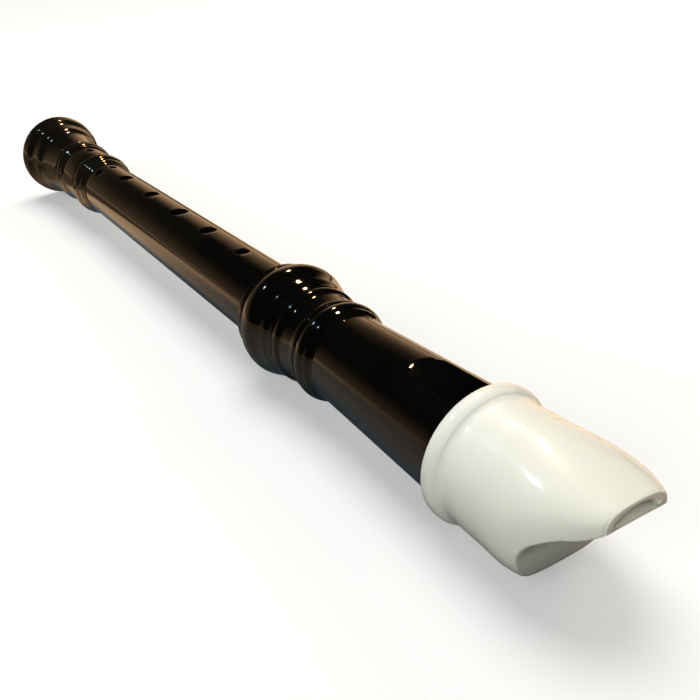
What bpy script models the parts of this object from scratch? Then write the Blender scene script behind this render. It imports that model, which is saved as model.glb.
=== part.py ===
"""Soprano recorder: head joint with a capped beak, middle joint and foot joint, lying on its side.

The axis runs along X with the mouthpiece at +X, the finger holes face up (+Z), and the widest
ring, the collar of the mouthpiece cap, touches Z = 0.  Every station below is a distance in
millimetres along the axis from the open end of the foot, and every radius is in millimetres.
"""
import math

import bmesh
import bpy
from mathutils import Matrix, Vector

MM = 0.001
SIDES = 48
GAP = 0.3                 # clearance left between neighbouring pieces

# Driving dimensions
LENGTH = 328.0            # open end of the foot to the tip of the beak
COLLAR_RADIUS = 16.8      # widest ring, which rests on the table
BELL_RADIUS = 16.3

# Stations where the pieces meet
FOOT_MOUTH = 61.2
FOOT_SHOULDER = 47.7
HEAD_MOUTH = 197.2
HEAD_SHOULDER = 219.5
CAP_MOUTH = 284.8
SPIGOT_END = 306.4
SLEEVE_END = 305.4        # here the round sleeve of the cap turns into the beak

# Radii of the sockets, tenons and bore
HEAD_SOCKET_RADIUS = 10.0
FOOT_SOCKET_RADIUS = 9.0
HEAD_BORE_RADIUS = 6.9
BODY_BORE_TOP_RADIUS = 6.5
BODY_BORE_END_RADIUS = 5.2
FOOT_BORE_RADIUS = 5.0
BELL_DISH_RADIUS = 9.0
BELL_DISH_DEPTH = 4.5
SPIGOT_RADIUS = 13.0
GROOVE_DEPTH = 0.8        # from a tenon's rims down to the seat of its lapping
LAPPING_LIFT = 0.3        # from the seat up to the lapping's inside

# Middle joint
BODY_TOP_RADIUS = 11.45
BODY_END_RADIUS = 9.72
UPPER_GROOVE = (201.0, 215.0)
LOWER_GROOVE = (50.1, 58.9)

# Beak: half width and height of the end face, and how the outline narrows towards it
SLEEVE_RADIUS = 16.0
TIP_HALF_WIDTH = 8.1
TIP_TOP = 13.6
TIP_BOTTOM = 9.2
NARROWING_POWER = 2.3
TOP_SLOPE_POWER = 1.5
# The hollow under the beak from the chin to the tip: station and height above the axis
UNDERCUT = [
    (307.5, -16.2), (309.0, -15.0), (310.9, -12.4), (312.2, -8.0), (313.1, -3.0),
    (315.0, 0.6), (317.8, 3.3), (321.2, 5.6), (324.8, 7.1), (LENGTH, TIP_BOTTOM),
]

# Windway and window
WINDOW_EXIT = 283.0
LABIUM_EDGE = 278.7
RAMP_END = 264.2
LABIUM_HEIGHT = 7.3
RAMP_TOP_HEIGHT = 13.3
WINDOW_HALF_WIDTH = 5.75
WINDWAY_HALF_WIDTH = 5.9
WINDWAY_EXIT_ROOF = 7.3
WINDWAY_HEIGHT = 1.3
WINDWAY_RISE = 0.12       # rise of the windway for each millimetre towards the tip
WINDWAY_ARCH = 1.6        # how much lower the windway's sides are than its middle at the tip

# Finger holes: station, radius and angle from the top towards the player's right
MIDDLE_HOLES = [
    (175.9, 2.15, 0.0),
    (152.6, 2.75, 0.0),
    (130.5, 3.05, 0.0),
    (106.9, 2.65, 0.0),
    (82.6, 2.70, 0.0),
    (65.9, 1.60, -26.0),
    (65.9, 1.40, 8.0),
    (187.9, 2.60, 180.0),
]
FOOT_HOLES = [
    (42.7, 1.60, 4.0),
    (42.7, 1.40, 36.0),
]

AXIS_HEIGHT = COLLAR_RADIUS
ROW_FROM_AXIS = Matrix.Translation((-LENGTH / 2 * MM, 0, AXIS_HEIGHT * MM)) @ Matrix.Rotation(math.pi / 2, 4, "Y")

# Colours, roughness
BLACK_PLASTIC = ("black_plastic", (0.018, 0.015, 0.013, 1), 0.12)
IVORY_PLASTIC = ("ivory_plastic", (0.78, 0.73, 0.58, 1), 0.30)
CORK = ("cork", (0.55, 0.36, 0.20, 1), 0.85)


# ---------------------------------------------------------------- scene helpers

def clear_scene():
    for item in list(bpy.data.objects):
        bpy.data.objects.remove(item, do_unlink=True)


def new_collection(name):
    group = bpy.data.collections.new(name)
    bpy.context.scene.collection.children.link(group)
    return group


def plastic(finish):
    name, colour, roughness = finish
    material = bpy.data.materials.get(name) or bpy.data.materials.new(name)
    material.use_nodes = True
    shader = material.node_tree.nodes["Principled BSDF"]
    shader.inputs["Base Color"].default_value = colour
    shader.inputs["Roughness"].default_value = roughness
    return material


def place(name, mesh, group, finish=None):
    piece = bpy.data.objects.new(name, mesh)
    piece.matrix_world = ROW_FROM_AXIS
    group.objects.link(piece)
    if finish:
        mesh.materials.append(plastic(finish))
    return piece


def make_cutter(name, mesh):
    cutter = place(name, mesh, CUTTERS)
    cutter.hide_render = True
    cutter.display_type = "WIRE"
    return cutter


def boolean(piece, other, operation="DIFFERENCE"):
    modifier = piece.modifiers.new(other.name, "BOOLEAN")
    modifier.object = other
    modifier.operation = operation
    modifier.solver = "EXACT"


# ---------------------------------------------------------------- profiles

def smooth_run(points, steps=2):
    """A Catmull-Rom curve through (station, radius) points, with steps pieces per span."""
    ends = [points[0]] + list(points) + [points[-1]]
    run = []
    for index in range(len(points) - 1):
        before, start, end, after = (Vector(p) for p in ends[index:index + 4])
        for step in range(steps):
            t = step / steps
            run.append(0.5 * (2 * start + (end - before) * t
                              + (2 * before - 5 * start + 4 * end - after) * t * t
                              + (3 * start - before - 3 * end + after) * t ** 3))
    run.append(Vector(points[-1]))
    return [tuple(p) for p in run]


def arc_between(start, end, sagitta, steps):
    """Points of a circular arc from start to end, bulging by sagitta to the left of the chord."""
    start, end = Vector(start), Vector(end)
    chord = end - start
    half = chord.length / 2
    radius = (half * half + sagitta * sagitta) / (2 * sagitta)
    normal = Vector((-chord.y, chord.x)).normalized()
    centre = (start + end) / 2 - normal * (radius - sagitta)
    half_angle = math.asin(half / radius)
    points = []
    for step in range(steps + 1):
        angle = half_angle - 2 * half_angle * step / steps
        along = chord.normalized() * (-math.sin(angle) * radius)
        points.append(tuple(centre + along + normal * (math.cos(angle) * radius)))
    return points


def turned_mesh(name, profile):
    """A closed outline of (station, radius), drawn in the plane that the Screw modifier turns."""
    mesh = bpy.data.meshes.new(name)
    vertices = [(radius * MM, 0, station * MM) for station, radius in profile]
    count = len(vertices)
    mesh.from_pydata(vertices, [(i, (i + 1) % count) for i in range(count)], [])
    return mesh


def turn(piece):
    screw = piece.modifiers.new("turned", "SCREW")
    screw.axis = "Z"
    screw.angle = 2 * math.pi
    screw.steps = SIDES
    screw.render_steps = SIDES
    screw.use_merge_vertices = True
    screw.merge_threshold = 0.00001
    screw.use_smooth_shade = True
    return piece


def turned(name, profile, group, finish):
    return turn(place(name, turned_mesh(name, profile), group, finish))


# ---------------------------------------------------------------- cutters and prisms

def cylinder_mesh(name, radius, start, end):
    """A solid rod on the axis between two stations."""
    mesh = bpy.data.meshes.new(name)
    rod = bmesh.new()
    middle = Matrix.Translation((0, 0, (start + end) / 2 * MM))
    bmesh.ops.create_cone(rod, cap_ends=True, segments=SIDES, radius1=radius * MM,
                          radius2=radius * MM, depth=(end - start) * MM, matrix=middle)
    rod.to_mesh(mesh)
    rod.free()
    return mesh


def hole_mesh(name, station, radius, angle, reach):
    """A drill from the axis outwards; angle 0 points up and 90 to the player's right."""
    mesh = bpy.data.meshes.new(name)
    drill = bmesh.new()
    bmesh.ops.create_cone(drill, cap_ends=True, segments=24, radius1=radius * MM,
                          radius2=radius * MM, depth=reach * MM,
                          matrix=Matrix.Translation((0, 0, reach / 2 * MM)))
    outwards = Matrix.Rotation(math.radians(180 - angle), 4, "Z") @ Matrix.Rotation(math.pi / 2, 4, "Y")
    drill.transform(Matrix.Translation((0, 0, station * MM)) @ outwards)
    drill.to_mesh(mesh)
    drill.free()
    return mesh


def prism_mesh(name, outline, half_width):
    """A side outline of (station, height) points, extruded to both sides of the middle plane."""
    mesh = bpy.data.meshes.new(name)
    prism = bmesh.new()
    corners = [prism.verts.new((-height * MM, -half_width * MM, station * MM))
               for station, height in outline]
    side = prism.faces.new(corners)
    grown = bmesh.ops.extrude_face_region(prism, geom=[side])
    moved = [item for item in grown["geom"] if isinstance(item, bmesh.types.BMVert)]
    bmesh.ops.translate(prism, verts=moved, vec=(0, 2 * half_width * MM, 0))
    bmesh.ops.recalc_face_normals(prism, faces=prism.faces)
    prism.to_mesh(mesh)
    prism.free()
    return mesh


def windway_roof(station, across):
    """Height of the windway's arched roof, flat where the air leaves it and arched at the tip."""
    along = station - WINDOW_EXIT
    arch = WINDWAY_ARCH * along / (LENGTH - WINDOW_EXIT)
    return WINDWAY_EXIT_ROOF + WINDWAY_RISE * along - arch * (across / WINDWAY_HALF_WIDTH) ** 2


def windway_floor(station, across):
    return windway_roof(station, across) - WINDWAY_HEIGHT


def windway_mesh(name, start, end, floor, roof, half_width):
    """A passage between two stations whose floor and roof are functions of station and place across."""
    mesh = bpy.data.meshes.new(name)
    passage = bmesh.new()
    spans = 8
    across = [half_width * (2 * step / spans - 1) for step in range(spans + 1)]
    near, far = [
        [passage.verts.new((-floor(station, y) * MM, y * MM, station * MM)) for y in across]
        + [passage.verts.new((-roof(station, y) * MM, y * MM, station * MM)) for y in reversed(across)]
        for station in (start, end)
    ]
    for i in range(len(near)):
        j = (i + 1) % len(near)
        passage.faces.new((near[i], near[j], far[j], far[i]))
    passage.faces.new(near)
    passage.faces.new(far)
    bmesh.ops.recalc_face_normals(passage, faces=passage.faces)
    passage.to_mesh(mesh)
    passage.free()
    return mesh


def drill_holes(piece, holes, reach=20.0):
    for number, (station, radius, angle) in enumerate(holes, 1):
        name = f"{piece.name}_drill_{number}"
        boolean(piece, make_cutter(name, hole_mesh(name, station, radius, angle, reach)))


# ---------------------------------------------------------------- pieces

def build_head_joint():
    bulb = smooth_run([
        (214.6, 13.60), (212.0, 14.62), (209.4, 15.45), (206.1, 16.28), (202.4, 15.55), (200.1, 14.45),
    ])
    bead = smooth_run([(234.1, 11.90), (231.6, 13.10), (229.3, 13.85), (226.8, 13.20)])
    cove = smooth_run([(224.9, 12.95), (221.8, 12.75), (218.7, 13.10)])
    outside = [
        (SPIGOT_END, SPIGOT_RADIUS - 0.4),
        (SPIGOT_END - 0.6, SPIGOT_RADIUS),
        (CAP_MOUTH - GAP, SPIGOT_RADIUS),
        (CAP_MOUTH - GAP, 14.25),
        *bead,
        (226.4, 13.35),
        (225.2, 13.35),
        *cove,
        (218.3, 13.80),
        (216.2, 13.80),
        *bulb,
        (199.5, 13.95),
        (199.0, 14.20),
        (197.9, 14.20),
        (HEAD_MOUTH, 13.60),
    ]
    inside = [
        (HEAD_MOUTH, HEAD_SOCKET_RADIUS + 0.5),
        (HEAD_MOUTH + 0.5, HEAD_SOCKET_RADIUS),
        (HEAD_SHOULDER, HEAD_SOCKET_RADIUS),
        (HEAD_SHOULDER, HEAD_BORE_RADIUS),
        (SPIGOT_END, HEAD_BORE_RADIUS),
    ]
    head = turned("head_joint", outside + inside, PARTS, BLACK_PLASTIC)

    channel = windway_mesh("windway_channel", WINDOW_EXIT - 1.0, SPIGOT_END + 5.0,
                           lambda station, across: 0.0, windway_roof, WINDWAY_HALF_WIDTH)
    boolean(head, make_cutter("windway_channel", channel))
    ramp_slope = (RAMP_TOP_HEIGHT - LABIUM_HEIGHT) / (LABIUM_EDGE - RAMP_END)
    over_ramp = 20.0
    window = [
        (LABIUM_EDGE, 3.0),
        (WINDOW_EXIT, 3.0),
        (WINDOW_EXIT, over_ramp),
        (RAMP_END - (over_ramp - RAMP_TOP_HEIGHT) / ramp_slope, over_ramp),
        (LABIUM_EDGE, LABIUM_HEIGHT),
    ]
    boolean(head, make_cutter("window_and_ramp", prism_mesh("window_and_ramp", window, WINDOW_HALF_WIDTH)))
    return head


def beak_ring(station):
    """Radius pair, centre height and squareness of the uncut beak at one station."""
    t = (station - SLEEVE_END) / (LENGTH - SLEEVE_END)
    half_width = SLEEVE_RADIUS - (SLEEVE_RADIUS - TIP_HALF_WIDTH) * t ** NARROWING_POWER
    top = SLEEVE_RADIUS - (SLEEVE_RADIUS - TIP_TOP) * t ** TOP_SLOPE_POWER
    middle = TIP_BOTTOM * t ** 1.5
    power = 1.0 - 0.3 * t
    return half_width, top, middle, power


def cap_rings():
    """The rings of the cap's outside, each a list of (across, height, station)."""
    collar = [
        (CAP_MOUTH, 15.90), (CAP_MOUTH + 0.4, 16.50), (CAP_MOUTH + 1.3, COLLAR_RADIUS),
        (CAP_MOUTH + 2.9, COLLAR_RADIUS), (CAP_MOUTH + 4.1, 16.35), (CAP_MOUTH + 4.8, 15.80),
        (CAP_MOUTH + 6.0, 15.55), (CAP_MOUTH + 12.0, 15.75),
    ]
    angles = [2 * math.pi * step / SIDES for step in range(SIDES)]
    rings = [[(radius * math.cos(a), radius * math.sin(a), station) for a in angles]
             for station, radius in collar]
    beak_steps = 8
    for step in range(beak_steps + 1):
        station = SLEEVE_END + (LENGTH - SLEEVE_END) * step / beak_steps
        half_width, top, middle, power = beak_ring(station)
        ring = []
        for a in angles:
            across = math.copysign(abs(math.cos(a)) ** power, math.cos(a)) * half_width
            lift = math.copysign(abs(math.sin(a)) ** power, math.sin(a))
            rise = top - middle if lift > 0 else SLEEVE_RADIUS
            ring.append((across, middle + lift * rise, station))
        rings.append(ring)
    return rings


def build_beak_cap():
    """A loft from the round collar and sleeve to the flat tip, then hollowed and cut underneath."""
    mesh = bpy.data.meshes.new("beak_cap")
    shell = bmesh.new()
    rows = [[shell.verts.new((-height * MM, across * MM, station * MM)) for across, height, station in ring]
            for ring in cap_rings()]
    for lower, upper in zip(rows, rows[1:]):
        for i in range(SIDES):
            j = (i + 1) % SIDES
            shell.faces.new((lower[i], lower[j], upper[j], upper[i]))
    shell.faces.new(rows[0])
    shell.faces.new(rows[-1])
    bmesh.ops.recalc_face_normals(shell, faces=shell.faces)
    shell.to_mesh(mesh)
    shell.free()
    mesh.shade_smooth()
    mesh.set_sharp_from_angle(angle=math.radians(35))
    cap = place("beak_cap", mesh, PARTS, IVORY_PLASTIC)

    socket = cylinder_mesh("cap_socket", SPIGOT_RADIUS + GAP, CAP_MOUTH - 10.0, SPIGOT_END + GAP)
    boolean(cap, make_cutter("cap_socket", socket))
    curve = smooth_run(UNDERCUT)
    below = [(UNDERCUT[0][0], -30.0)] + curve + [(LENGTH + 5.0, TIP_BOTTOM), (LENGTH + 5.0, -30.0)]
    boolean(cap, make_cutter("beak_undercut", prism_mesh("beak_undercut", below, 25.0)))
    slot = windway_mesh("windway_slot", SPIGOT_END - 5.0, LENGTH + 5.0,
                        windway_floor, windway_roof, WINDWAY_HALF_WIDTH)
    boolean(cap, make_cutter("windway_slot", slot))
    return cap


def build_windway_block():
    """The plug under the windway: a rod with a wedge on top, cut to the windway's sloping floor."""
    rod = cylinder_mesh("windway_block", HEAD_BORE_RADIUS - GAP, WINDOW_EXIT, SPIGOT_END)
    block = place("windway_block", rod, PARTS, IVORY_PLASTIC)
    wedge = [(WINDOW_EXIT, 0.5), (SPIGOT_END, 0.5), (SPIGOT_END, 12.0), (WINDOW_EXIT, 12.0)]
    wedge_mesh = prism_mesh("block_wedge", wedge, WINDWAY_HALF_WIDTH - GAP)
    boolean(block, make_cutter("block_wedge", wedge_mesh), "UNION")
    above = windway_mesh("above_windway_floor", WINDOW_EXIT - 2.0, SPIGOT_END + 2.0,
                         windway_floor, lambda station, across: 20.0, HEAD_BORE_RADIUS)
    boolean(block, make_cutter("above_windway_floor", above))
    return block


def build_middle_joint():
    upper_end = HEAD_SHOULDER - GAP
    lower_end = FOOT_SHOULDER + GAP
    upper_rim = HEAD_SOCKET_RADIUS - GAP
    lower_rim = FOOT_SOCKET_RADIUS - GAP
    outside = [
        (upper_end, upper_rim - 0.5),
        (upper_end - 0.8, upper_rim),
        (UPPER_GROOVE[1], upper_rim),
        (UPPER_GROOVE[1], upper_rim - GROOVE_DEPTH),
        (UPPER_GROOVE[0], upper_rim - GROOVE_DEPTH),
        (UPPER_GROOVE[0], upper_rim),
        (HEAD_MOUTH - GAP, upper_rim),
        (HEAD_MOUTH - GAP, BODY_TOP_RADIUS - 0.3),
        (HEAD_MOUTH - GAP - 0.3, BODY_TOP_RADIUS),
        (FOOT_MOUTH + GAP + 0.3, BODY_END_RADIUS),
        (FOOT_MOUTH + GAP, BODY_END_RADIUS - 0.2),
        (FOOT_MOUTH + GAP, lower_rim),
        (LOWER_GROOVE[1], lower_rim),
        (LOWER_GROOVE[1], lower_rim - GROOVE_DEPTH),
        (LOWER_GROOVE[0], lower_rim - GROOVE_DEPTH),
        (LOWER_GROOVE[0], lower_rim),
        (lower_end + 0.8, lower_rim),
        (lower_end, lower_rim - 0.5),
    ]
    inside = [(lower_end, BODY_BORE_END_RADIUS), (upper_end, BODY_BORE_TOP_RADIUS)]
    middle = turned("middle_joint", outside + inside, PARTS, BLACK_PLASTIC)
    drill_holes(middle, MIDDLE_HOLES)
    return middle


def build_lapping(name, groove, socket_radius):
    low, high = groove[0] + GAP, groove[1] - GAP
    outer = socket_radius - GAP
    inner = outer - GROOVE_DEPTH + LAPPING_LIFT
    return turned(name, [(high, outer), (low, outer), (low, inner), (high, inner)], PARTS, CORK)


def build_foot_joint():
    mouth_bead = smooth_run([(60.6, 10.20), (57.0, 11.05), (53.9, 11.72), (50.5, 10.85)])
    barrel = [(45.5, 11.05), (38.8, 10.90)]
    small_bead = smooth_run([(37.8, 10.95), (34.4, 12.05), (31.4, 11.20)])
    bell = smooth_run([(30.7, 11.55), (22.0, 12.00), (12.5, 13.75), (4.2, 15.25)])
    outside = [
        (FOOT_MOUTH, 9.90),
        *mouth_bead,
        *barrel,
        *small_bead,
        *bell,
        (3.6, 15.80),
        (2.4, BELL_RADIUS),
        (0.8, BELL_RADIUS),
        (0.0, BELL_RADIUS - 0.7),
    ]
    dish = arc_between((0.0, BELL_DISH_RADIUS), (BELL_DISH_DEPTH, FOOT_BORE_RADIUS), 0.9, 4)
    inside = [
        *dish,
        (FOOT_SHOULDER, FOOT_BORE_RADIUS),
        (FOOT_SHOULDER, FOOT_SOCKET_RADIUS),
        (FOOT_MOUTH - 0.4, FOOT_SOCKET_RADIUS),
        (FOOT_MOUTH, FOOT_SOCKET_RADIUS + 0.4),
    ]
    foot = turned("foot_joint", outside + inside, PARTS, BLACK_PLASTIC)
    drill_holes(foot, FOOT_HOLES)
    return foot


clear_scene()
PARTS = new_collection("soprano_recorder")
CUTTERS = new_collection("cutters")
build_head_joint()
build_beak_cap()
build_windway_block()
build_middle_joint()
build_lapping("upper_tenon_lapping", UPPER_GROOVE, HEAD_SOCKET_RADIUS)
build_lapping("lower_tenon_lapping", LOWER_GROOVE, FOOT_SOCKET_RADIUS)
build_foot_joint()
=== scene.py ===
"""Looks of the soprano recorder: finely turned joints, a softly moulded beak cap, and their materials.

Shapes are drawn in millimetres as (station, across, height): station runs along the axis from the
open end of the foot, across is towards the player's right, and height is above the axis.  They are
moved into the CAD frame, in metres, when each piece is finished.  Materials, lamps and the camera
are placed in the CAD frame directly.
"""

import math

import bmesh
import bpy
import numpy as np
from mathutils import Matrix, Vector


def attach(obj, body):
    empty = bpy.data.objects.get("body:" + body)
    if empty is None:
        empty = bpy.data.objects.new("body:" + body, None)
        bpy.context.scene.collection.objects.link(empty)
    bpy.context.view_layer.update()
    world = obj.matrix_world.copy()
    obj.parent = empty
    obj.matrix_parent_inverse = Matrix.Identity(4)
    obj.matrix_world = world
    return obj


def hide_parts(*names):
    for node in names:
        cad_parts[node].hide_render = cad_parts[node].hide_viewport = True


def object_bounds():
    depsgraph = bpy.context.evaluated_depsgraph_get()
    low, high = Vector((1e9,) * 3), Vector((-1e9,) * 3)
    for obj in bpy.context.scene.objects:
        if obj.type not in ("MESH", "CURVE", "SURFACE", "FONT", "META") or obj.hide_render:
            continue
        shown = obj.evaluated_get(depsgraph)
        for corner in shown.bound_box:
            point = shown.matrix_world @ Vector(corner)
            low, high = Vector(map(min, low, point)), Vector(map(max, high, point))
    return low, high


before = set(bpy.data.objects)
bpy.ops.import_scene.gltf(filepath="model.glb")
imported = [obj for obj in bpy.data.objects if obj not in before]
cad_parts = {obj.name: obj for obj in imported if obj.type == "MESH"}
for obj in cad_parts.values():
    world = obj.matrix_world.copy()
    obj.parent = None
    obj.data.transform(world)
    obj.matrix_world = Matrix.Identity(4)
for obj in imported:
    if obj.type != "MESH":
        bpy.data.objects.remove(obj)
CAD_LOW, CAD_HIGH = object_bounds()

MM = 0.001
AXIS_HEIGHT = (CAD_LOW.z + CAD_HIGH.z) / 2
FRAME_FROM_DRAWING = Matrix.Translation((CAD_LOW.x, 0, AXIS_HEIGHT)) @ Matrix.Scale(MM, 4)
TURNED_SIDES = 192
CAP_SIDES = 256
RING_SIDES = 144          # sides of a cork ring
ROD_SIDES = 96
HOLE_SIDES = 48
GAP = 0.3                 # clearance between neighbouring pieces

# Stations along the axis
LENGTH = (CAD_HIGH.x - CAD_LOW.x) / MM
FOOT_MOUTH = 61.2
FOOT_SHOULDER = 47.7
HEAD_MOUTH = 197.2
HEAD_SHOULDER = 219.5
CAP_MOUTH = 284.8
BEAK_START = 300.0
SLEEVE_END = 305.4
SPIGOT_END = 306.4
UPPER_GROOVE = (201.0, 215.0)
LOWER_GROOVE = (50.1, 58.9)

# Radii
HEAD_SOCKET = 10.0
FOOT_SOCKET = 9.0
HEAD_BORE = 6.9
BODY_BORE_TOP = 6.5
BODY_BORE_END = 5.2
FOOT_BORE = 5.0
FOOT_SIDE = 11.0          # the foot's side where its holes are
SPIGOT = 13.0
BODY_TOP = 11.45
BODY_END = 9.72
SLEEVE = 16.0
SLEEVE_FLARE = 0.062      # growth of the radius per millimetre towards the beak

# Beak: the undercut's points are (station, height), from the chin to the tip
TIP_HALF_WIDTH = 8.1
TIP_TOP = 13.6
TIP_BOTTOM = 9.2
TIP_ROLL = 0.35
CHIN_APPROACH = [(BEAK_START, -31.0), (303.4, -23.6)]
UNDERCUT = [
    (307.5, -16.2), (309.0, -15.0), (310.9, -12.4), (312.2, -8.0), (313.1, -3.0),
    (315.0, 0.6), (317.8, 3.3), (321.2, 5.6), (324.8, 7.1), (LENGTH, TIP_BOTTOM),
]

# Window and windway
WINDOW_EXIT = 283.0
WINDOW_BOTTOM = 3.0
WINDOW_HALF_WIDTH = 5.75
LABIUM_EDGE = 278.7
LABIUM_HEIGHT = 7.3
RAMP_END = 264.2
RAMP_TOP_HEIGHT = 13.3
WINDWAY_HALF_WIDTH = 5.9
WINDWAY_EXIT_ROOF = 7.3
WINDWAY_HEIGHT = 1.3
WINDWAY_RISE = 0.12       # rise of the roof per millimetre towards the tip
WINDWAY_ARCH = 1.6
MOUTH_FLOOR = 10.1
ABOVE_ALL = 20.0          # a height that clears every piece

# Finger holes: station, radius and angle from the top towards the player's right
MIDDLE_HOLES = [
    (175.9, 2.15, 0.0),
    (152.6, 2.75, 0.0),
    (130.5, 3.05, 0.0),
    (106.9, 2.65, 0.0),
    (82.6, 2.70, 0.0),
    (65.9, 1.60, -26.0),
    (65.9, 1.40, 8.0),
    (187.9, 2.60, 180.0),   # the thumb's
]
FOOT_HOLES = [
    (42.7, 1.60, 4.0),
    (42.7, 1.40, 36.0),
]

# Stage, in metres
STAGE_REACH = 4.0         # half the floor's width
GLOW_PLACE = -2.0         # along the axis, beyond the foot
GLOW_TOP = 2.6
WORLD_STRENGTH = 0.20
CAMERA_PLACE = (0.24988, -0.11322, 0.13681)
CAMERA_TARGET = (0.06445, 0.00327, 0.01621)
CAMERA_ROLL = -2.68       # degrees
CAMERA_LENS = 48.57       # millimetres, over a sensor 36 wide


# ---------------------------------------------------------------- profiles

def spline(points, steps=6):
    """A Catmull-Rom curve through the points, with steps pieces per span."""
    ends = [points[0]] + list(points) + [points[-1]]
    run = []
    for index in range(len(points) - 1):
        before, start, end, after = (Vector(p) for p in ends[index:index + 4])
        for step in range(steps):
            t = step / steps
            run.append(0.5 * (2 * start + (end - before) * t
                              + (2 * before - 5 * start + 4 * end - after) * t * t
                              + (3 * start - before - 3 * end + after) * t ** 3))
    run.append(Vector(points[-1]))
    return [tuple(p) for p in run]


def rounded(outline, radius, steps=4, least_turn=12.0):
    """The closed outline with every corner sharper than least_turn degrees rolled over."""
    nothing = 1e-6
    share = 0.45              # of each neighbouring side, at most
    result = []
    count = len(outline)
    for index, point in enumerate(outline):
        corner = Vector(point)
        back = Vector(outline[index - 1]) - corner
        ahead = Vector(outline[(index + 1) % count]) - corner
        if back.length < nothing or ahead.length < nothing:
            continue
        turn = math.pi - back.angle(ahead)
        if math.degrees(turn) < least_turn:
            result.append(tuple(corner))
            continue
        reach = min(radius * math.tan(turn / 2), share * back.length, share * ahead.length)
        start = corner + back.normalized() * reach
        end = corner + ahead.normalized() * reach
        for step in range(steps + 1):
            t = step / steps
            result.append(tuple(start * (1 - t) ** 2 + corner * (2 * t * (1 - t)) + end * t * t))
    return result


def evenly_cut(outline, longest):
    """The closed outline with extra points, where a span would be longer than longest."""
    result = []
    for index, point in enumerate(outline):
        start, end = Vector(point), Vector(outline[(index + 1) % len(outline)])
        pieces = max(1, math.ceil((end - start).length / longest))
        result += [tuple(start.lerp(end, k / pieces)) for k in range(pieces)]
    return result


# ---------------------------------------------------------------- meshes

def mesh_of(vertices, faces):
    """A mesh with its faces turned outwards."""
    mesh = bpy.data.meshes.new("drawing")
    mesh.from_pydata([tuple(v) for v in vertices], [], faces)
    skin = bmesh.new()
    skin.from_mesh(mesh)
    bmesh.ops.recalc_face_normals(skin, faces=skin.faces)
    skin.to_mesh(mesh)
    skin.free()
    return mesh


def linked(name, data):
    """A new object in the scene for a mesh, lamp or camera."""
    piece = bpy.data.objects.new(name, data)
    bpy.context.scene.collection.objects.link(piece)
    return piece


def round_ring(station, radius, sides):
    """Points round the axis, starting at the top."""
    turns = [2 * math.pi * k / sides for k in range(sides)]
    return [(station, radius * math.sin(turn), radius * math.cos(turn)) for turn in turns]


def flat_ring(station, outline):
    """A ring of (across, height) points at one station."""
    return [(station, across, height) for across, height in outline]


def skin_faces(first, second, sides):
    """Faces between two rings, given by their numbers."""
    return [
        (first * sides + k, first * sides + (k + 1) % sides,
         second * sides + (k + 1) % sides, second * sides + k)
        for k in range(sides)
    ]


def looped_mesh(rings):
    """A skin over rings of equal length, closed from the last ring back to the first."""
    count, sides = len(rings), len(rings[0])
    faces = []
    for index in range(count):
        faces += skin_faces(index, (index + 1) % count, sides)
    return mesh_of([point for ring in rings for point in ring], faces)


def ringed_mesh(rings):
    """A closed skin over rings of equal length, with a fan over each end."""
    sides = len(rings[0])
    vertices = [point for ring in rings for point in ring]
    faces = []
    for index in range(len(rings) - 1):
        faces += skin_faces(index, index + 1, sides)
    for index in (0, len(rings) - 1):
        vertices.append(tuple(sum((Vector(p) for p in rings[index]), Vector()) / sides))
        hub = len(vertices) - 1
        faces += [(index * sides + k, index * sides + (k + 1) % sides, hub) for k in range(sides)]
    return mesh_of(vertices, faces)


def turned_mesh(outline, sides):
    """A closed outline of (station, radius) turned round the axis."""
    return looped_mesh([round_ring(station, radius, sides) for station, radius in outline])


def rod_mesh(radius, start, end):
    """A plain rod along the axis."""
    return ringed_mesh([round_ring(station, radius, ROD_SIDES) for station in (start, end)])


def prism_mesh(outline, half_width):
    """A side outline of (station, height) points, extruded to both sides of the middle plane."""
    count = len(outline)
    vertices = [(station, side * half_width, height) for side in (-1, 1) for station, height in outline]
    faces = [tuple(range(count)), tuple(range(count, 2 * count))]
    faces += [(k, (k + 1) % count, count + (k + 1) % count, count + k) for k in range(count)]
    return mesh_of(vertices, faces)


def windway_roof(station, across):
    """Height of the windway's roof, flat where the air leaves it and arched at the tip."""
    along = station - WINDOW_EXIT
    arch = WINDWAY_ARCH * along / (LENGTH - WINDOW_EXIT)
    return WINDWAY_EXIT_ROOF + WINDWAY_RISE * along - arch * (across / WINDWAY_HALF_WIDTH) ** 2


def windway_floor(station, across):
    return windway_roof(station, across) - WINDWAY_HEIGHT


def windway_mesh(stations, floor, roof, half_width):
    """A passage through the stations whose floor and roof are functions of station and place across."""
    spans = 16
    across = [half_width * (2 * step / spans - 1) for step in range(spans + 1)]
    rings = []
    for station in stations:
        low = [(station, y, floor(station, y)) for y in across]
        high = [(station, y, roof(station, y)) for y in reversed(across)]
        rings.append(low + high)
    return ringed_mesh(rings)


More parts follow.
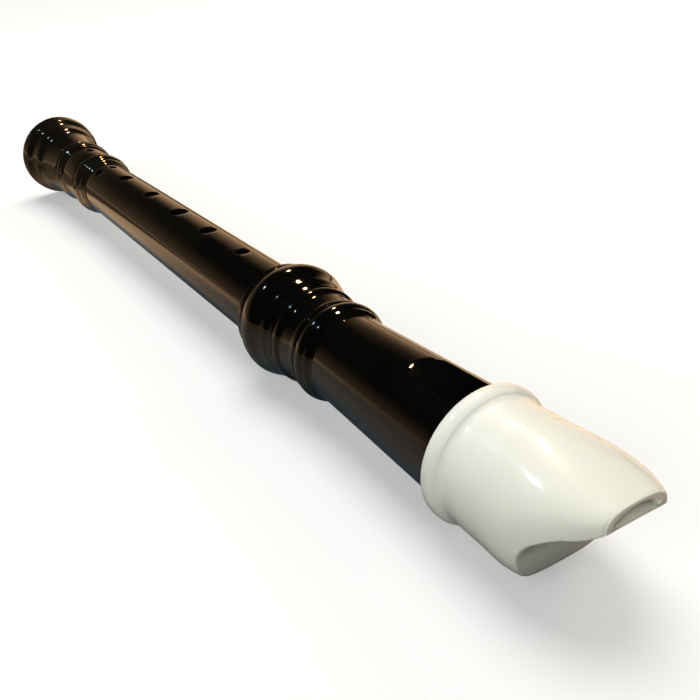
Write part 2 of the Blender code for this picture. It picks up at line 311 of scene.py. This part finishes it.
def hole_mesh(station, radius, angle, surface_radius):
    """A drill from near the axis outwards, whose mouth flares over the round surface."""
    roll = 0.14
    steepest = 72.0
    steps = 5
    overshoot = 1.0
    inner_end = 1.5
    outer_end = 2.0
    flare = []
    for step in range(steps + 1):
        bend = math.radians(steepest * step / steps)
        flare.append((radius + roll * (1 - math.cos(bend)), roll * (1 - math.sin(bend))))
    reach, depth = flare[-1]
    flare.append((reach + overshoot * math.sin(math.radians(steepest)),
                  depth - overshoot * math.cos(math.radians(steepest))))
    flare.append((flare[-1][0], -outer_end))
    turn = math.radians(angle)
    rings = []
    for reach, depth in [(radius, None)] + flare:
        ring = []
        for k in range(HOLE_SIDES):
            phi = 2 * math.pi * k / HOLE_SIDES
            along, sideways = reach * math.cos(phi), reach * math.sin(phi)
            if depth is None:
                lift = inner_end
            else:
                lift = math.sqrt(surface_radius ** 2 - sideways ** 2) - depth
            ring.append((station + along,
                         sideways * math.cos(turn) + lift * math.sin(turn),
                         lift * math.cos(turn) - sideways * math.sin(turn)))
        rings.append(ring)
    return ringed_mesh(rings)


def settle(piece):
    """Applies the piece's modifiers to its mesh."""
    bpy.context.view_layer.update()
    graph = bpy.context.evaluated_depsgraph_get()
    mesh = bpy.data.meshes.new_from_object(piece.evaluated_get(graph))
    piece.modifiers.clear()
    old = piece.data
    piece.data = mesh
    bpy.data.meshes.remove(old)


def cut(piece, mesh, operation="DIFFERENCE"):
    """Cuts the mesh away from the piece, or adds it, and keeps only the result."""
    cutter = linked("cutter", mesh)
    modifier = piece.modifiers.new("cut", "BOOLEAN")
    modifier.object = cutter
    modifier.operation = operation
    modifier.solver = "EXACT"
    settle(piece)
    bpy.data.objects.remove(cutter, do_unlink=True)
    bpy.data.meshes.remove(mesh)


def finished(piece, body, material, replaced, sharp=35.0):
    """Moves the piece into the CAD frame, shades it, gives it its body and material, and hides the CAD part
    it replaces.
    """
    piece.data.transform(FRAME_FROM_DRAWING)
    piece.data.name = piece.name
    piece.data.shade_smooth()
    piece.data.set_sharp_from_angle(angle=math.radians(sharp))
    piece.data.materials.clear()
    piece.data.materials.append(material)
    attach(piece, body)
    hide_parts(replaced)


# ---------------------------------------------------------------- materials

class Finish:
    """A material with short calls for its nodes."""

    def __init__(self, name):
        self.material = bpy.data.materials.new(name)
        self.material.use_nodes = True
        self.nodes = self.material.node_tree.nodes
        self.links = self.material.node_tree.links
        self.shader = self.nodes["Principled BSDF"]
        self.place = self.nodes.new("ShaderNodeTexCoord").outputs["Object"]

    def socket(self, name):
        return self.shader.inputs[name.replace("_", " ")]

    def set(self, **values):
        """Gives the shader's sockets plain values."""
        for name, value in values.items():
            self.socket(name).default_value = value

    def feed(self, **sources):
        """Links node outputs to the shader's sockets."""
        for name, source in sources.items():
            self.links.new(source, self.socket(name))

    def give(self, socket, value):
        """Gives a node's socket a number, a colour or another node's output."""
        if isinstance(value, (int, float, tuple)):
            socket.default_value = value
        else:
            self.links.new(value, socket)

    def stretched(self, scale, turn):
        node = self.nodes.new("ShaderNodeMapping")
        node.inputs["Scale"].default_value = scale
        node.inputs["Rotation"].default_value = turn
        self.links.new(self.place, node.inputs["Vector"])
        return node.outputs["Vector"]

    def noise(self, scale, detail=4.0, roughness=0.5, vector=None, distortion=0.0):
        node = self.nodes.new("ShaderNodeTexNoise")
        node.inputs["Scale"].default_value = scale
        node.inputs["Detail"].default_value = detail
        node.inputs["Roughness"].default_value = roughness
        node.inputs["Distortion"].default_value = distortion
        self.links.new(vector or self.place, node.inputs["Vector"])
        return node.outputs["Fac"]

    def cells(self, scale, feature="F1"):
        node = self.nodes.new("ShaderNodeTexVoronoi")
        node.feature = feature
        node.inputs["Scale"].default_value = scale
        self.links.new(self.place, node.inputs["Vector"])
        return node.outputs["Distance"]

    def ranged(self, value, low, high, to_low=0.0, to_high=1.0, smooth=False):
        """The value moved from one range to another, and held within it."""
        node = self.nodes.new("ShaderNodeMapRange")
        node.interpolation_type = "SMOOTHSTEP" if smooth else "LINEAR"
        limits = {"From Min": low, "From Max": high, "To Min": to_low, "To Max": to_high}
        for name, number in limits.items():
            node.inputs[name].default_value = number
        self.links.new(value, node.inputs["Value"])
        return node.outputs["Result"]

    def maths(self, operation, first, second):
        node = self.nodes.new("ShaderNodeMath")
        node.operation = operation
        self.give(node.inputs[0], first)
        self.give(node.inputs[1], second)
        return node.outputs["Value"]

    def plus(self, first, second):
        return self.maths("ADD", first, second)

    def times(self, first, second):
        return self.maths("MULTIPLY", first, second)

    def mixed(self, amount, first, second):
        """The first colour where amount is 0 and the second where it is 1."""
        node = self.nodes.new("ShaderNodeMix")
        node.data_type = "RGBA"
        self.links.new(amount, node.inputs["Factor"])
        for name, value in (("A", first), ("B", second)):
            self.give([s for s in node.inputs if s.name == name and s.type == "RGBA"][0], value)
        return [s for s in node.outputs if s.type == "RGBA"][0]

    def bump(self, height, strength, distance, under=None):
        """A relief on top of the one under it."""
        node = self.nodes.new("ShaderNodeBump")
        node.inputs["Strength"].default_value = strength
        node.inputs["Distance"].default_value = distance
        self.links.new(height, node.inputs["Height"])
        if under is not None:
            self.links.new(under, node.inputs["Normal"])
        return node.outputs["Normal"]

    def edge_wear(self, low, high):
        """1 on convex edges, 0 on flat and hollow places."""
        geometry = self.nodes.new("ShaderNodeNewGeometry")
        return self.ranged(geometry.outputs["Pointiness"], low, high)

    def along(self, low, high, axis="X"):
        """0 at one place along an axis and 1 at another, in metres."""
        node = self.nodes.new("ShaderNodeSeparateXYZ")
        self.links.new(self.place, node.inputs["Vector"])
        return self.ranged(node.outputs[axis], low, high, smooth=True)


def black_plastic():
    """Polished black plastic, browner towards the foot, with smudges, fine scratches and worn edges."""
    finish = Finish("polished_black_plastic")
    finish.set(IOR=1.5, Specular_IOR_Level=0.5, Specular_Tint=(1.0, 0.94, 0.87, 1))
    cloud = finish.ranged(finish.noise(55.0, 3.0), 0.35, 0.65)
    grain = finish.noise(900.0, 2.0)

    polished = finish.mixed(cloud, (0.0018, 0.0018, 0.0016, 1), (0.0030, 0.0028, 0.0024, 1))
    # browner towards the foot
    footward_brown = finish.mixed(cloud, (0.0048, 0.0041, 0.0030, 1), (0.0078, 0.0064, 0.0046, 1))
    browning = finish.along(0.06, -0.12)
    body = finish.mixed(browning, polished, footward_brown)
    patches = finish.ranged(finish.noise(210.0, 3.0), 0.42, 0.62)
    wear = finish.times(finish.edge_wear(0.52, 0.60), patches)
    worn = finish.mixed(finish.times(wear, 0.4), body, (0.026, 0.022, 0.018, 1))

    along_field = finish.noise(46.0, 2.0, vector=finish.stretched((1.0, 26.0, 26.0), (0.0, 0.06, 0.1)))
    round_field = finish.noise(60.0, 2.0, vector=finish.stretched((24.0, 1.0, 1.0), (0.1, 0.04, 0.0)))
    along_scratches = finish.ranged(along_field, 0.66, 0.70)
    round_scratches = finish.ranged(round_field, 0.68, 0.72)
    scratches = finish.plus(along_scratches, round_scratches)

    smudges = finish.ranged(finish.noise(95.0, 5.0, 0.6, distortion=0.6), 0.50, 0.70, 0.0, 0.045)
    rough = finish.plus(finish.ranged(grain, 0.3, 0.7, 0.050, 0.070), smudges)
    rough = finish.plus(rough, finish.times(scratches, 0.03))
    rough = finish.plus(rough, finish.times(wear, 0.10))

    ripple = finish.bump(finish.noise(60.0, 2.0), 0.03, 0.0004)
    skin = finish.bump(grain, 0.02, 0.00006, ripple)
    scored = finish.bump(finish.maths("SUBTRACT", 0.0, scratches), 0.02, 0.00004, skin)
    finish.feed(Base_Color=worn, Roughness=rough, Normal=scored)
    return finish.material


def ivory_plastic(name, tip_tone=True):
    """Ivory plastic, a little translucent, with faint scuffs; tip_tone yellows it towards the lips."""
    finish = Finish(name)
    finish.set(
        IOR=1.5, Subsurface_Weight=0.12, Subsurface_Scale=0.0012, Subsurface_Radius=(1.0, 0.75, 0.5),
        Coat_Weight=0.35, Coat_Roughness=0.09,
    )
    cloud = finish.noise(30.0, 3.0)
    grain = finish.noise(700.0, 2.0)

    body = finish.mixed(finish.ranged(cloud, 0.3, 0.7), (0.90, 0.90, 0.82, 1), (0.88, 0.87, 0.775, 1))
    if tip_tone:
        lips = finish.times(finish.along(0.124, 0.168), finish.ranged(cloud, 0.3, 0.7, 0.2, 0.6))
        body = finish.mixed(lips, body, (0.77, 0.74, 0.60, 1))
    patches = finish.ranged(finish.noise(160.0, 3.0), 0.45, 0.7)
    wear = finish.times(finish.edge_wear(0.52, 0.62), patches)
    body = finish.mixed(finish.times(wear, 0.3), body, (0.70, 0.66, 0.52, 1))

    scuffs = finish.noise(40.0, 2.0, vector=finish.stretched((1.0, 40.0, 35.0), (0.1, 0.08, 0.15)))
    rough = finish.ranged(finish.noise(110.0, 4.0), 0.3, 0.7, 0.17, 0.21)
    rough = finish.plus(rough, finish.ranged(scuffs, 0.50, 0.80, 0.0, 0.03))

    soft = finish.bump(finish.noise(60.0, 2.0), 0.05, 0.0005)
    skin = finish.bump(grain, 0.02, 0.00006, soft)
    edges = finish.bump(wear, 0.03, 0.00005, skin)
    finish.feed(Base_Color=body, Roughness=rough, Normal=edges)
    return finish.material


def cork():
    """Fine pressed cork: brown grains with dark pores, matt."""
    finish = Finish("fine_cork")
    grains = finish.ranged(finish.cells(900.0), 0.1, 0.8)
    pores = finish.ranged(finish.cells(420.0, "DISTANCE_TO_EDGE"), 0.0, 0.08)
    specks = finish.ranged(finish.noise(350.0, 5.0), 0.58, 0.68)
    tone = finish.mixed(grains, (0.62, 0.42, 0.24, 1), (0.44, 0.27, 0.14, 1))
    tone = finish.mixed(specks, tone, (0.16, 0.09, 0.05, 1))
    tone = finish.mixed(pores, (0.28, 0.17, 0.09, 1), tone)
    rough = finish.ranged(finish.noise(500.0), 0.3, 0.7, 0.75, 0.95)
    coarse = finish.bump(pores, 0.5, 0.00015)
    fine = finish.bump(finish.noise(1500.0, 4.0), 0.4, 0.0001, coarse)
    finish.feed(Base_Color=tone, Roughness=rough, Normal=fine)
    return finish.material


# ---------------------------------------------------------------- pieces

def turned_piece(name, outside, inside):
    """A turned joint from the (station, radius) points of its outside and its bore."""
    corner = 0.22
    longest_span = 2.4
    outline = evenly_cut(rounded(outside + inside, corner), longest_span)
    return linked(name, turned_mesh(outline, TURNED_SIDES))


def build_head_joint(material):
    """The head: a spigot for the cap, the window, two beads, and the bulb round the socket."""
    lip = spline([(233.3, 12.16), (232.5, 12.62), (231.9, 13.00), (231.2, 13.16)])
    bead = spline([(230.9, 13.20), (230.3, 13.60), (229.0, 13.85), (227.5, 13.50), (226.7, 12.95)])
    cove = spline([
        (224.9, 12.98), (224.3, 12.78), (223.4, 12.70), (221.2, 12.78), (219.6, 12.88), (218.9, 13.02),
    ])
    ring = spline([
        (218.6, 13.28), (218.2, 13.60), (217.7, 13.76), (217.1, 13.80), (216.6, 13.74), (216.2, 13.42),
    ])
    bulb = spline([
        (215.9, 13.44), (215.5, 13.66), (214.9, 13.80), (214.2, 13.96), (213.4, 14.22), (212.4, 14.52),
        (210.8, 14.86), (209.1, 15.40), (207.8, 15.90), (206.2, 16.26), (204.6, 16.18), (203.0, 15.80),
        (201.4, 15.05), (200.2, 14.10),
    ])
    outside = [
        (SPIGOT_END, SPIGOT - 0.4),
        (SPIGOT_END - 0.6, SPIGOT),
        (CAP_MOUTH - GAP, SPIGOT),
        (CAP_MOUTH - GAP, 14.25),
        (234.0, 11.96),
        *lip,
        *bead,
        (226.4, 13.35),
        (225.2, 13.35),
        *cove,
        *ring,
        *bulb,
        (199.8, 13.80),
        (199.3, 14.20),
        (197.9, 14.20),
        (HEAD_MOUTH, 13.60),
    ]
    inside = [
        (HEAD_MOUTH, HEAD_SOCKET + 0.5),
        (HEAD_MOUTH + 0.5, HEAD_SOCKET),
        (HEAD_SHOULDER, HEAD_SOCKET),
        (HEAD_SHOULDER, HEAD_BORE),
        (SPIGOT_END, HEAD_BORE),
    ]
    head = turned_piece("turned_head_joint", outside, inside)
    past_window, past_end = 1.0, 5.0
    stations = (WINDOW_EXIT - past_window, SPIGOT_END + past_end)
    cut(head, windway_mesh(stations, lambda station, across: 0.0, windway_roof, WINDWAY_HALF_WIDTH))
    ramp_slope = (RAMP_TOP_HEIGHT - LABIUM_HEIGHT) / (LABIUM_EDGE - RAMP_END)
    ramp_start = RAMP_END - (ABOVE_ALL - RAMP_TOP_HEIGHT) / ramp_slope
    window = [
        (LABIUM_EDGE, WINDOW_BOTTOM),
        (WINDOW_EXIT, WINDOW_BOTTOM),
        (WINDOW_EXIT, ABOVE_ALL),
        (ramp_start, ABOVE_ALL),
        (LABIUM_EDGE, LABIUM_HEIGHT),
    ]
    cut(head, prism_mesh(window, WINDOW_HALF_WIDTH))
    finished(head, "head", material, "head_joint")


def beak_outline(station, drop, turns):
    """(across, height) points of the beak at a station, cut off below the height drop.

    Each point lies at one of the angles turns, as seen from the outline's own centre.  It is found by
    halving the distance to it, and then pulled in softly to the level of the cut.
    """
    t = max(0.0, (station - SLEEVE_END) / (LENGTH - SLEEVE_END))
    narrowing, slant = t ** 2.3, t ** 1.5         # of the sides, and of the top and bottom
    girth = SLEEVE - SLEEVE_FLARE * max(0.0, SLEEVE_END - station)
    half_width = girth - (SLEEVE - TIP_HALF_WIDTH) * narrowing
    top = girth - (SLEEVE - TIP_TOP) * slant
    middle = TIP_BOTTOM * slant
    power = 2 / (1.0 - 0.3 * t)                   # an ellipse's, growing squarer towards the tip
    centre = (top + max(drop, middle - girth)) / 2
    low, high = np.zeros(len(turns)), np.full(len(turns), 3 * SLEEVE)
    for _ in range(40):
        reach = (low + high) / 2
        height = centre + reach * np.sin(turns) - middle
        rise = np.where(height > 0, top - middle, girth)
        outside = np.abs(reach * np.cos(turns) / half_width) ** power + np.abs(height / rise) ** power > 1
        low, high = np.where(outside, low, reach), np.where(outside, reach, high)
    level = (centre - drop) / np.maximum(-np.sin(turns), 1e-3)
    chin, beak = (308.0, 9.0), (314.0, 34.0)      # stations, and how sharp the cut's edge is there
    crisp = float(np.interp(station, *zip(chin, beak)))
    reach = (reach ** -crisp + level ** -crisp) ** (-1 / crisp)
    return np.stack([reach * np.cos(turns), centre + reach * np.sin(turns)], axis=1)


def slot_outline(station, turns, grow=0.0, sag=0.0):
    """(across, height) points of the windway's arched outline, widened by grow all round; sag takes the
    floor down towards the flat bottom of the mouth."""
    side = np.cos(turns)
    across = (WINDWAY_HALF_WIDTH + grow) * side
    roof = windway_roof(station, across) + grow
    floor = windway_floor(station, across) - grow
    floor += (np.minimum(floor, MOUTH_FLOOR) - floor) * sag
    squareness = 6
    lift = (roof - floor) / 2 * (1 - side ** squareness) ** (1 / squareness)
    return np.stack([across, (roof + floor) / 2 + np.copysign(lift, np.sin(turns))], axis=1)


def collar_rings(circle, socket, lip):
    """From just inside the socket over the collar and along the sleeve."""
    mouth = [(lip, socket), (0.1, socket + 0.1), (0.0, socket + 0.35), (0.0, 15.5)]
    sleeve_start = (BEAK_START - CAP_MOUTH, SLEEVE - SLEEVE_FLARE * (SLEEVE_END - BEAK_START))
    collar = spline([
        (0.08, 15.80), (0.45, 16.45), (1.3, 16.78), (2.9, 16.78), (4.1, 16.30), (4.8, 15.70),
        (5.9, 15.34), (8.0, 15.36), (11.0, 15.54), sleeve_start,
    ])
    return [flat_ring(CAP_MOUTH + station, circle * radius) for station, radius in mouth + collar[:-1]]


def beak_rings(turns):
    """From the sleeve along the undercut to just before the tip, at even steps."""
    spacing = 0.4
    path = spline(CHIN_APPROACH + UNDERCUT, 24)
    rings = [flat_ring(path[0][0], beak_outline(*path[0], turns))]
    travelled = 0.0
    for back, here in zip(path, path[1:]):
        travelled += math.dist(back, here)
        if travelled > spacing and here[0] < LENGTH - TIP_ROLL:
            rings.append(flat_ring(here[0], beak_outline(*here, turns)))
            travelled = 0.0
    return rings


def tip_rings(tip, slot):
    """A quarter roll from the tip's outside in towards the slot."""
    steps = 5
    inwards = slot - tip
    inwards /= np.linalg.norm(inwards, axis=1)[:, None]
    rings = []
    for step in range(steps + 1):
        bend = math.radians(90 * step / steps)
        outline = tip + inwards * TIP_ROLL * (1 - math.cos(bend))
        rings.append(flat_ring(LENGTH - TIP_ROLL * (1 - math.sin(bend)), outline))
    return rings


def windway_rings(slot_turns, end):
    """From the slot in the tip, whose floor is cut lower, along the windway to its end in the cap."""
    mouth = [                 # depth behind the tip, and the slot_outline's grow and sag there
        (0.0, 0.25, 1.0), (0.12, 0.12, 0.95), (0.35, 0.03, 0.82),
        (0.7, 0.0, 0.6), (1.2, 0.0, 0.34), (1.8, 0.0, 0.1),
    ]
    passage = [(2.6 + k, 0.0, 0.0) for k in range(18)]
    rings = []
    for depth, grow, sag in mouth + passage:
        station = LENGTH - depth
        rings.append(flat_ring(station, slot_outline(station, slot_turns, grow, sag)))
    return rings + [flat_ring(end, slot_outline(end, slot_turns))]


def build_beak_cap(material):
    """One closed skin: collar, sleeve, beak, rolled tip, then back through the windway and the socket."""
    nudge = 0.001             # keeps every angle off the exact sides
    turns = np.arange(CAP_SIDES) * 2 * math.pi / CAP_SIDES + nudge
    circle = np.stack([np.cos(turns), np.sin(turns)], axis=1)
    tip = beak_outline(LENGTH, TIP_BOTTOM, turns)
    half_height = (TIP_TOP - TIP_BOTTOM) / 2
    rise = (tip[:, 1] - TIP_BOTTOM - half_height) / half_height
    slot_turns = np.arctan2(rise, tip[:, 0] / TIP_HALF_WIDTH)
    socket = SPIGOT + GAP
    lip = 0.35
    end = SPIGOT_END + GAP
    to_lip = CAP_MOUTH + lip - end
    socket_steps = 10
    rings = [
        *collar_rings(circle, socket, lip),
        *beak_rings(turns),
        *tip_rings(tip, slot_outline(LENGTH, slot_turns)),
        *windway_rings(slot_turns, end),
        *[flat_ring(end + to_lip * step / socket_steps, circle * socket) for step in range(socket_steps)],
    ]
    cap = linked("moulded_beak_cap", looped_mesh(rings))
    finished(cap, "head", material, "beak_cap", sharp=38.0)


def build_windway_block(material):
    """The plug under the windway: a rod with a wedge on top, cut to the windway's sloping floor."""
    block = linked("smooth_windway_block", rod_mesh(HEAD_BORE - GAP, WINDOW_EXIT, SPIGOT_END))
    bottom, top = 0.5, 12.0
    wedge = [(WINDOW_EXIT, bottom), (SPIGOT_END, bottom), (SPIGOT_END, top), (WINDOW_EXIT, top)]
    cut(block, prism_mesh(wedge, WINDWAY_HALF_WIDTH - GAP), "UNION")
    past_ends = 2.0
    stations = (WINDOW_EXIT - past_ends, SPIGOT_END + past_ends)
    cut(block, windway_mesh(stations, windway_floor, lambda station, across: ABOVE_ALL, HEAD_BORE))
    finished(block, "head", material, "windway_block")


def build_middle_joint(material):
    """The middle: a grooved tenon at each end and a tapered tube with its finger and thumb holes."""
    upper_end = HEAD_SHOULDER - GAP
    lower_end = FOOT_SHOULDER + GAP
    upper_rim = HEAD_SOCKET - GAP
    lower_rim = FOOT_SOCKET - GAP
    groove = 0.8
    lead_in, lead_drop = 0.8, 0.5
    outside = [
        (upper_end, upper_rim - lead_drop),
        (upper_end - lead_in, upper_rim),
        (UPPER_GROOVE[1], upper_rim),
        (UPPER_GROOVE[1], upper_rim - groove),
        (UPPER_GROOVE[0], upper_rim - groove),
        (UPPER_GROOVE[0], upper_rim),
        (HEAD_MOUTH - GAP, upper_rim),
        (HEAD_MOUTH - GAP, BODY_TOP - 0.3),
        (HEAD_MOUTH - GAP - 0.3, BODY_TOP),
        (FOOT_MOUTH + GAP + 0.3, BODY_END),
        (FOOT_MOUTH + GAP, BODY_END - 0.2),
        (FOOT_MOUTH + GAP, lower_rim),
        (LOWER_GROOVE[1], lower_rim),
        (LOWER_GROOVE[1], lower_rim - groove),
        (LOWER_GROOVE[0], lower_rim - groove),
        (LOWER_GROOVE[0], lower_rim),
        (lower_end + lead_in, lower_rim),
        (lower_end, lower_rim - lead_drop),
    ]
    inside = [(lower_end, BODY_BORE_END), (upper_end, BODY_BORE_TOP)]
    middle = turned_piece("turned_middle_joint", outside, inside)
    for station, radius, angle in MIDDLE_HOLES:
        taper = (station - FOOT_MOUTH) / (HEAD_MOUTH - FOOT_MOUTH)
        side = BODY_END + (BODY_TOP - BODY_END) * taper
        cut(middle, hole_mesh(station, radius, angle, side))
    finished(middle, "middle_joint", material, "middle_joint")


def build_lapping(name, body, node, groove, socket, material):
    """A cork ring with soft edges, in a tenon's groove."""
    low, high = groove[0] + GAP, groove[1] - GAP
    outer = socket - GAP
    thickness = 0.5
    inner = outer - thickness
    corner = 0.2
    longest_span = 0.6
    section = [(high, outer), (low, outer), (low, inner), (high, inner)]
    outline = evenly_cut(rounded(section, corner), longest_span)
    ring = linked(name, turned_mesh(outline, RING_SIDES))
    finished(ring, body, material, node)


def build_foot_joint(material):
    """The foot: two stepped beads, a flared bell with a shallow dish, and the socket."""
    mouth_bead = spline([
        (59.9, 10.10), (59.2, 10.50), (58.4, 10.74), (57.5, 10.88), (56.8, 11.14), (56.0, 11.50),
        (55.2, 11.64), (54.0, 11.78), (52.9, 11.68), (51.6, 11.22), (50.6, 10.70),
    ])
    small_bead = spline([
        (37.9, 10.92), (37.2, 11.34), (36.5, 11.50), (35.9, 11.60), (35.3, 11.84), (34.6, 12.02),
        (33.6, 12.04), (32.7, 11.80), (31.7, 11.25),
    ])
    bell = spline([
        (29.8, 11.62), (26.0, 11.74), (22.4, 11.94), (19.6, 12.16), (17.9, 12.34), (16.8, 12.56),
        (15.8, 12.98), (14.8, 13.46), (13.9, 13.76), (12.6, 13.96), (11.0, 14.10), (9.7, 14.22),
        (8.8, 14.42), (8.0, 14.76), (7.1, 15.26), (6.2, 15.68),
    ])
    rim = spline([(5.4, 15.86), (4.2, 16.02), (2.8, 16.18), (1.4, 16.18), (0.4, 15.94), (0.0, 15.50)])
    outside = [
        (FOOT_MOUTH, 9.90),
        (60.5, 10.10),
        (60.2, 9.95),
        *mouth_bead,
        (50.2, 10.62),
        (49.6, 10.95),
        (45.5, 11.05),
        (39.0, 10.95),
        (38.4, 10.62),
        *small_bead,
        (31.3, 10.98),
        (30.9, 11.45),
        (30.4, 11.68),
        *bell,
        *rim,
    ]
    dish = spline([(0.0, 9.0), (1.0, 8.35), (2.2, 7.1), (3.4, 5.7), (4.5, FOOT_BORE)], 4)
    inside = [
        *dish,
        (FOOT_SHOULDER, FOOT_BORE),
        (FOOT_SHOULDER, FOOT_SOCKET),
        (FOOT_MOUTH - 0.4, FOOT_SOCKET),
        (FOOT_MOUTH, FOOT_SOCKET + 0.4),
    ]
    foot = turned_piece("turned_foot_joint", outside, inside)
    for station, radius, angle in FOOT_HOLES:
        cut(foot, hole_mesh(station, radius, angle, FOOT_SIDE))
    finished(foot, "foot", material, "foot_joint")


def build_pieces():
    black = black_plastic()
    ivory = ivory_plastic("ivory_plastic_cap")
    plain_ivory = ivory_plastic("ivory_plastic_block", tip_tone=False)
    brown = cork()
    build_head_joint(black)
    build_beak_cap(ivory)
    build_windway_block(plain_ivory)
    build_middle_joint(black)
    build_lapping(
        "upper_cork_ring", "upper_lapping", "upper_tenon_lapping", UPPER_GROOVE, HEAD_SOCKET, brown)
    build_lapping(
        "lower_cork_ring", "lower_lapping", "lower_tenon_lapping", LOWER_GROOVE, FOOT_SOCKET, brown)
    build_foot_joint(black)


# ---------------------------------------------------------------- stage

def plain_material(name, colour, glow=0.0):
    """A matt material that may glow white."""
    finish = Finish(name)
    finish.set(
        Base_Color=colour, Roughness=0.9, Specular_IOR_Level=0.0,
        Emission_Color=(1.0, 1.0, 1.0, 1), Emission_Strength=glow,
    )
    return finish.material


def table_material():
    """What the gloss sees of the table, a painted reflection that glows: greyish by the head and bright tan
    by the foot, bluish where the object's shadow falls, a painted shade round the bell, warm on the
    player's right."""
    finish = Finish("glowing_table_reflection")
    finish.set(Roughness=0.9, Specular_IOR_Level=0.0)
    near = finish.mixed(finish.along(0.0, -0.11), (0.33, 0.29, 0.25, 1), (0.80, 0.52, 0.30, 1))
    left = finish.mixed(finish.along(-0.26, -0.03, "Y"), (0.26, 0.17, 0.095, 1), near)
    thin_shadow = finish.mixed(finish.along(-0.008, -0.020, "Y"), (0.15, 0.19, 0.21, 1), left)
    wide_shadow = finish.mixed(finish.along(-0.012, -0.034, "Y"), (0.17, 0.21, 0.245, 1), left)
    tone = finish.mixed(finish.along(-0.02, 0.06), thin_shadow, wide_shadow)
    right = finish.mixed(finish.along(-0.10, -0.15), (0.85, 0.58, 0.36, 1), (0.30, 0.19, 0.11, 1))
    tone = finish.mixed(finish.along(0.0, 0.03, "Y"), tone, right)
    # a painted shade round the bell, seen only in the gloss
    bell_shade = finish.times(finish.along(-0.152, -0.172), finish.along(-0.95, -0.25))
    bell_shade = finish.times(bell_shade, finish.along(-0.20, -0.10, "Y"))
    tone = finish.mixed(bell_shade, tone, (0.09, 0.06, 0.035, 1))
    light = finish.times(finish.along(-0.01, -0.12), 0.7)
    finish.feed(Base_Color=tone, Emission_Color=tone, Emission_Strength=light)
    return finish.material


def glow_material():
    """Warm light low behind the foot: strong to the player's right, weak elsewhere."""
    finish = Finish("warm_glow")
    finish.set(
        Base_Color=(0, 0, 0, 1), Roughness=1.0, Specular_IOR_Level=0.0, Emission_Color=(1.0, 0.62, 0.34, 1),
    )
    strong = finish.times(finish.along(0.35, 0.95, "Y"), finish.along(1.8, -0.5, "Z"))
    weak = finish.along(1.05, -0.3, "Z")
    light = finish.plus(finish.times(strong, 1.05), finish.times(weak, 0.34))
    finish.feed(Emission_Strength=light)
    return finish.material


def sheet(name, corners, material, camera=False, gloss=False, diffuse=False):
    """A flat stage piece that shows only in the camera's view, in the gloss, or in the soft light."""
    mesh = bpy.data.meshes.new(name)
    mesh.from_pydata(corners, [], [(0, 1, 2, 3)])
    mesh.materials.append(material)
    piece = linked(name, mesh)
    piece.visible_camera = camera
    piece.visible_glossy = gloss
    piece.visible_diffuse = diffuse
    piece.visible_shadow = False


def level_corners(height):
    signs = [(-1, -1), (1, -1), (1, 1), (-1, 1)]
    return [(along * STAGE_REACH, across * STAGE_REACH, height) for along, across in signs]


def area_light(name, direction, distance, size, power, colour, mirrored=False):
    """A round lamp in that direction from the object's middle; a mirrored one only makes highlights."""
    lamp = bpy.data.lights.new(name, "AREA")
    lamp.shape = "DISK"
    lamp.size = size
    lamp.energy = power
    lamp.color = colour
    holder = linked(name, lamp)
    towards = Vector(direction).normalized()
    holder.location = Vector((0, 0, AXIS_HEIGHT)) + towards * distance
    holder.rotation_euler = towards.to_track_quat("Z", "Y").to_euler()
    holder.visible_glossy = mirrored
    holder.visible_diffuse = not mirrored
    holder.visible_camera = False


def build_floor():
    """A pale floor for the camera, just under it what the gloss and the soft light see instead, and a
    glow behind the foot."""
    step = 0.0001
    height = CAD_LOW.z - step
    pale = plain_material("pale_floor", (0.66, 0.66, 0.655, 1), glow=0.30)
    bounce = plain_material("soft_bounce", (0.11, 0.095, 0.06, 1))
    sheet("floor", level_corners(height), pale, camera=True)
    # a sheet seen only in the gloss: a painted reflection of the table, which glows
    sheet("table_reflection_sheet", level_corners(height - 2 * step), table_material(), gloss=True)
    sheet("table_bounce", level_corners(height - 4 * step), bounce, diffuse=True)
    wall = [
        (GLOW_PLACE, -STAGE_REACH, height),
        (GLOW_PLACE, STAGE_REACH, height),
        (GLOW_PLACE, STAGE_REACH, GLOW_TOP),
        (GLOW_PLACE, -STAGE_REACH, GLOW_TOP),
    ]
    sheet("glow", wall, glow_material(), gloss=True)


def build_lights():
    area_light("overhead", (-0.30, 0.15, 1.0), 1.3, 1.1, 14.0, (1.0, 0.98, 0.94))
    area_light("left_fill", (0.45, -1.0, 0.55), 1.5, 1.0, 11.0, (0.93, 0.99, 1.0))
    area_light("right_fill", (-0.1, 1.0, 0.60), 1.5, 1.0, 6.0, (1.0, 0.86, 0.68))
    area_light("warm_lamp", (-0.545, 0.320, 0.775), 2.93, 0.28, 32.0, (1.0, 0.58, 0.28), mirrored=True)
    area_light("blue_lamp", (-0.540, -0.395, 0.745), 2.93, 0.20, 7.5, (0.56, 0.76, 1.0), mirrored=True)
    world = bpy.data.worlds.new("studio")
    world.use_nodes = True
    background = world.node_tree.nodes["Background"]
    background.inputs["Color"].default_value = (1.0, 1.0, 1.0, 1)
    background.inputs["Strength"].default_value = WORLD_STRENGTH
    bpy.context.scene.world = world
    world.cycles_visibility.glossy = False


def build_camera():
    lens = bpy.data.cameras.new("camera")
    lens.sensor_width = 36.0
    lens.lens = CAMERA_LENS
    lens.clip_start = 0.01
    camera = linked("camera", lens)
    place = Vector(CAMERA_PLACE)
    facing = (Vector(CAMERA_TARGET) - place).to_track_quat("-Z", "Y").to_matrix().to_4x4()
    roll = Matrix.Rotation(math.radians(CAMERA_ROLL), 4, "Z")
    camera.matrix_world = Matrix.Translation(place) @ facing @ roll
    bpy.context.scene.camera = camera


build_camera()
build_pieces()
build_floor()
build_lights()
bpy.context.scene.view_settings.view_transform = "Standard"
